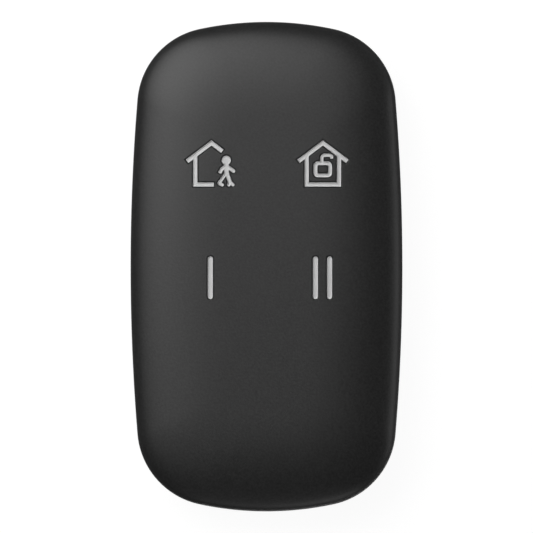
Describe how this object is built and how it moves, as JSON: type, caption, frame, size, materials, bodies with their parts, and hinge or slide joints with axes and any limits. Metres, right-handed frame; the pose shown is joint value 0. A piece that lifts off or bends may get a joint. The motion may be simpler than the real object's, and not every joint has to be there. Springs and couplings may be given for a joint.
{
  "type": "alarm key fob",
  "caption": "Hand-held alarm remote with a seamless matte black soft-touch front, grey function signs over push keys, and a rear coin-slot battery hatch.",
  "frame": {"origin": "middle of the rear face, which the fob lies on", "axes": "+X to the right and +Y towards the upper keys as seen from the key face, +Z out of the key face"},
  "size_m": [0.0416, 0.075, 0.013],
  "materials": {
    "soft_touch": "fine matte soft-touch",
    "frame_plastic": "moulded matte",
    "cover_plastic": "fine spark-eroded texture",
    "seal_rubber": "matte",
    "screw_steel": "zinc plated",
    "bar_steel": "ground",
    "board_green": "solder mask",
    "chip_black": "moulded",
    "crystal_metal": "plated",
    "antenna_metal": "tinned",
    "capacitor_body": "fired",
    "resistor_body": "glazed",
    "contact_metal": "sprung strip",
    "cell_steel": "drawn",
    "key_plastic": "moulded",
    "sign_grey": "satin",
    "switch_plastic": "moulded",
    "dome_steel": "rolled",
    "stem_plastic": "moulded",
    "switch_steel": "stamped"
  },
  "bodies": {
    "fob_case": {"soft_cover": "soft_touch", "front_frame": "frame_plastic", "rear_cover": "cover_plastic", "case_gasket": "seal_rubber", "case_screws": "screw_steel", "lanyard_bar": "bar_steel", "circuit_board": "board_green", "radio_chip": "chip_black", "crystal": "crystal_metal", "loop_antenna": "antenna_metal", "chip_capacitors": "capacitor_body", "chip_resistors": "resistor_body", "plus_contacts": "contact_metal", "minus_contact": "contact_metal", "coin_cell": "cell_steel", "away_switch_base": "switch_plastic", "away_switch_dome": "dome_steel", "away_switch_cover": "switch_steel", "disarm_switch_base": "switch_plastic", "disarm_switch_dome": "dome_steel", "disarm_switch_cover": "switch_steel", "one_switch_base": "switch_plastic", "one_switch_dome": "dome_steel", "one_switch_cover": "switch_steel", "two_switch_base": "switch_plastic", "two_switch_dome": "dome_steel", "two_switch_cover": "switch_steel"},
    "away_key_body": {"away_key": "key_plastic", "away_icon": "sign_grey"},
    "away_stem_body": {"away_switch_stem": "stem_plastic"},
    "disarm_key_body": {"disarm_key": "key_plastic", "disarm_icon": "sign_grey"},
    "disarm_stem_body": {"disarm_switch_stem": "stem_plastic"},
    "one_key_body": {"one_key": "key_plastic", "one_icon": "sign_grey"},
    "one_stem_body": {"one_switch_stem": "stem_plastic"},
    "two_key_body": {"two_key": "key_plastic", "two_icon": "sign_grey"},
    "two_stem_body": {"two_switch_stem": "stem_plastic"},
    "hatch_body": {"battery_hatch": "cover_plastic", "hatch_seal": "seal_rubber"}
  },
  "joints": [
    {"name": "away_press", "type": "slide", "parent": "fob_case", "child": "away_key_body", "axis": [0, 0, -1], "range_m": [0, 0.00035], "stiffness_N_per_m": 3000, "deforming": ["soft_cover", "away_switch_dome"]},
    {"name": "away_stem_slide", "type": "slide", "parent": "fob_case", "child": "away_stem_body", "axis": [0, 0, -1], "range_m": [0, 0.00035], "deforming": ["away_switch_dome"]},
    {"name": "disarm_press", "type": "slide", "parent": "fob_case", "child": "disarm_key_body", "axis": [0, 0, -1], "range_m": [0, 0.00035], "stiffness_N_per_m": 3000, "deforming": ["soft_cover", "disarm_switch_dome"]},
    {"name": "disarm_stem_slide", "type": "slide", "parent": "fob_case", "child": "disarm_stem_body", "axis": [0, 0, -1], "range_m": [0, 0.00035], "deforming": ["disarm_switch_dome"]},
    {"name": "one_press", "type": "slide", "parent": "fob_case", "child": "one_key_body", "axis": [0, 0, -1], "range_m": [0, 0.00035], "stiffness_N_per_m": 3000, "deforming": ["soft_cover", "one_switch_dome"]},
    {"name": "one_stem_slide", "type": "slide", "parent": "fob_case", "child": "one_stem_body", "axis": [0, 0, -1], "range_m": [0, 0.00035], "deforming": ["one_switch_dome"]},
    {"name": "two_press", "type": "slide", "parent": "fob_case", "child": "two_key_body", "axis": [0, 0, -1], "range_m": [0, 0.00035], "stiffness_N_per_m": 3000, "deforming": ["soft_cover", "two_switch_dome"]},
    {"name": "two_stem_slide", "type": "slide", "parent": "fob_case", "child": "two_stem_body", "axis": [0, 0, -1], "range_m": [0, 0.00035], "deforming": ["two_switch_dome"]},
    {"name": "hatch_turn", "type": "hinge", "parent": "fob_case", "child": "hatch_body", "pos_m": [0, -0.014, 0], "axis": [0, 0, -1], "range_deg": [0, 60]}
  ],
  "couplings": [
    {"joint": "away_stem_slide", "follows": "away_press", "ratio": 1},
    {"joint": "disarm_stem_slide", "follows": "disarm_press", "ratio": 1},
    {"joint": "one_stem_slide", "follows": "one_press", "ratio": 1},
    {"joint": "two_stem_slide", "follows": "two_press", "ratio": 1}
  ]
}
